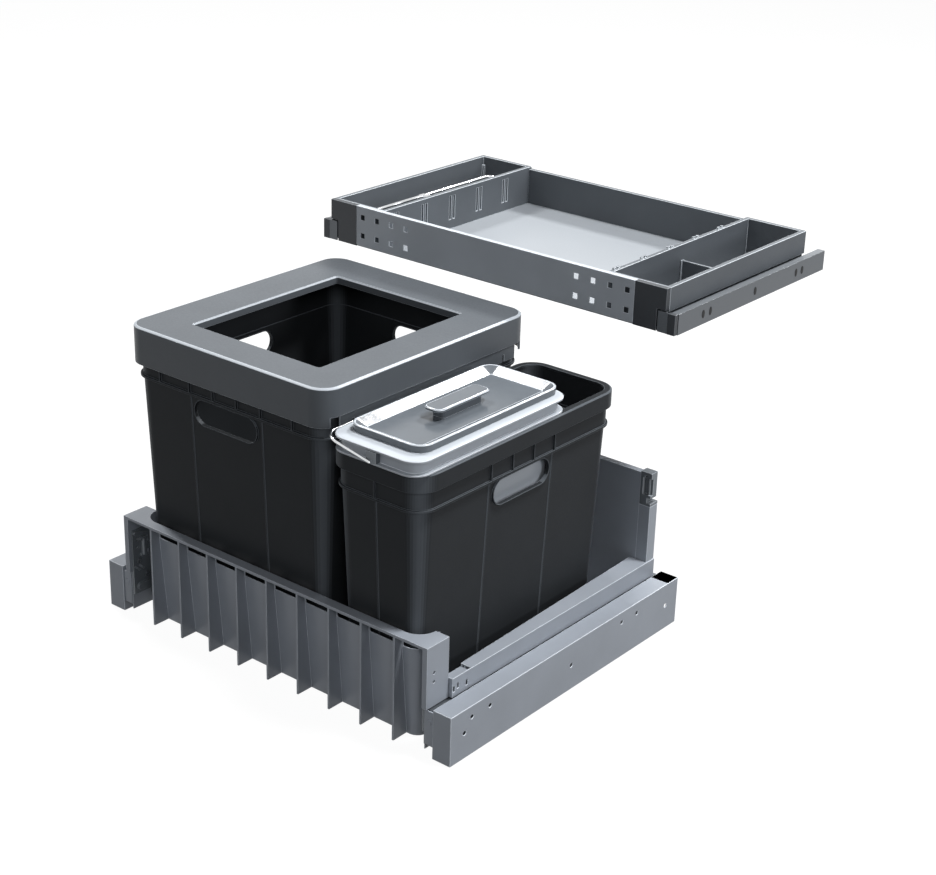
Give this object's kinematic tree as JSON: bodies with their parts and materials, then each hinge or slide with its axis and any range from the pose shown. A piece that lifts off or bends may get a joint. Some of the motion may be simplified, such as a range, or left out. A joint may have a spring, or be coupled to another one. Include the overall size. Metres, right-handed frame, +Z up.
{
  "type": "pull out trash cabinet",
  "caption": "Pull-out waste sorting unit for a base cabinet: a tray on side slides with a lidded caddy and bag frame on its bins, and a shallow utensil drawer running above.",
  "frame": {"origin": "midway between the two cabinet rails, at their front ends and undersides, on the cabinet's centre line", "axes": "+X to the right seen from the front, +Y into the cabinet, +Z up; the unit pulls out along -Y"},
  "size_m": [0.562, 0.7502, 0.4573],
  "materials": {
    "light_grey_paint": "satin",
    "pale_floor_paint": "satin",
    "mid_grey_paint": "satin",
    "slide_steel": "zinc plated",
    "cast_zinc": "cast",
    "bright_wire": "polished",
    "dark_grey_plastic": "fine grained",
    "mid_grey_plastic": "fine grained",
    "black_plastic": "fine grained",
    "pale_plastic": "moulded"
  },
  "bodies": {
    "cabinet_side_parts": {"left_cabinet_rail": "light_grey_paint", "right_cabinet_rail": "light_grey_paint", "left_lower_cabinet_member": "slide_steel", "right_lower_cabinet_member": "slide_steel", "left_upper_cabinet_member": "slide_steel", "right_upper_cabinet_member": "slide_steel"},
    "lower_middle_members": {"left_lower_middle_member": "slide_steel", "right_lower_middle_member": "slide_steel"},
    "lower_outer_cages": {"lower_outer_ball_cages": "cast_zinc"},
    "lower_inner_cages": {"lower_inner_ball_cages": "cast_zinc"},
    "tray": {"left_lower_tray_member": "slide_steel", "right_lower_tray_member": "slide_steel", "left_tray_side": "light_grey_paint", "right_tray_side": "light_grey_paint", "tray_floor": "light_grey_paint", "front_panel": "light_grey_paint", "left_front_bracket": "cast_zinc", "right_front_bracket": "cast_zinc", "adjusting_screws": "slide_steel", "back_panel": "light_grey_paint", "left_rear_post": "light_grey_paint", "right_rear_post": "light_grey_paint", "left_rear_clip": "cast_zinc", "right_rear_clip": "cast_zinc"},
    "large_waste_bin": {"large_bin": "dark_grey_plastic"},
    "bag_frame": {"bag_frame": "mid_grey_plastic"},
    "small_waste_bin": {"small_bin": "dark_grey_plastic", "bin_cross_bar": "dark_grey_plastic"},
    "caddy": {"caddy": "pale_plastic", "bail_clips": "cast_zinc"},
    "bail": {"caddy_bail": "bright_wire"},
    "caddy_lid": {"caddy_lid": "mid_grey_plastic", "lid_knob": "mid_grey_plastic"},
    "upper_middle_members": {"left_upper_middle_member": "slide_steel", "right_upper_middle_member": "slide_steel"},
    "upper_outer_cages": {"upper_outer_ball_cages": "cast_zinc"},
    "upper_inner_cages": {"upper_inner_ball_cages": "cast_zinc"},
    "utensil_drawer": {"left_upper_drawer_member": "slide_steel", "right_upper_drawer_member": "slide_steel", "left_slide_bumper": "black_plastic", "right_slide_bumper": "black_plastic", "drawer_floor": "pale_floor_paint", "drawer_front_rail": "mid_grey_paint", "left_end_cap": "black_plastic", "right_end_cap": "black_plastic", "left_side_module": "mid_grey_plastic", "right_side_module": "mid_grey_plastic", "cross_divider": "mid_grey_plastic", "drawer_back": "mid_grey_plastic", "roll_bars": "bright_wire"}
  },
  "joints": [
    {"name": "tray_slide", "type": "slide", "parent": "cabinet_side_parts", "child": "tray", "axis": [0, -1, 0], "range_m": [0, 0.44]},
    {"name": "lower_middle_slide", "type": "slide", "parent": "cabinet_side_parts", "child": "lower_middle_members", "axis": [0, -1, 0], "range_m": [0, 0.22]},
    {"name": "lower_outer_cage_slide", "type": "slide", "parent": "cabinet_side_parts", "child": "lower_outer_cages", "axis": [0, -1, 0], "range_m": [0, 0.11]},
    {"name": "lower_inner_cage_slide", "type": "slide", "parent": "cabinet_side_parts", "child": "lower_inner_cages", "axis": [0, -1, 0], "range_m": [0, 0.33]},
    {"name": "drawer_slide", "type": "slide", "parent": "cabinet_side_parts", "child": "utensil_drawer", "axis": [0, -1, 0], "range_m": [0, 0.33]},
    {"name": "upper_middle_slide", "type": "slide", "parent": "cabinet_side_parts", "child": "upper_middle_members", "axis": [0, -1, 0], "range_m": [0, 0.165]},
    {"name": "upper_outer_cage_slide", "type": "slide", "parent": "cabinet_side_parts", "child": "upper_outer_cages", "axis": [0, -1, 0], "range_m": [0, 0.0825]},
    {"name": "upper_inner_cage_slide", "type": "slide", "parent": "cabinet_side_parts", "child": "upper_inner_cages", "axis": [0, -1, 0], "range_m": [0, 0.2475]},
    {"name": "large_bin_lift", "type": "slide", "parent": "tray", "child": "large_waste_bin", "axis": [0, 0, 1], "range_m": [0, 0.38]},
    {"name": "bag_frame_lift", "type": "slide", "parent": "large_waste_bin", "child": "bag_frame", "axis": [0, 0, 1], "range_m": [0, 0.15]},
    {"name": "small_bin_lift", "type": "slide", "parent": "tray", "child": "small_waste_bin", "axis": [0, 0, 1], "range_m": [0, 0.38]},
    {"name": "caddy_lift", "type": "slide", "parent": "small_waste_bin", "child": "caddy", "axis": [0, 0, 1], "range_m": [0, 0.25]},
    {"name": "lid_lift", "type": "slide", "parent": "caddy", "child": "caddy_lid", "axis": [0, 0, 1], "range_m": [0, 0.06]},
    {"name": "bail_swing", "type": "hinge", "parent": "caddy", "child": "bail", "pos_m": [0.1625, 0.1345, 0.334], "axis": [0, 1, 0], "range_deg": [0, 158]}
  ],
  "couplings": [
    {"joint": "lower_middle_slide", "follows": "tray_slide", "ratio": 0.5},
    {"joint": "lower_outer_cage_slide", "follows": "tray_slide", "ratio": 0.25},
    {"joint": "lower_inner_cage_slide", "follows": "tray_slide", "ratio": 0.75},
    {"joint": "upper_middle_slide", "follows": "drawer_slide", "ratio": 0.5},
    {"joint": "upper_outer_cage_slide", "follows": "drawer_slide", "ratio": 0.25},
    {"joint": "upper_inner_cage_slide", "follows": "drawer_slide", "ratio": 0.75}
  ]
}
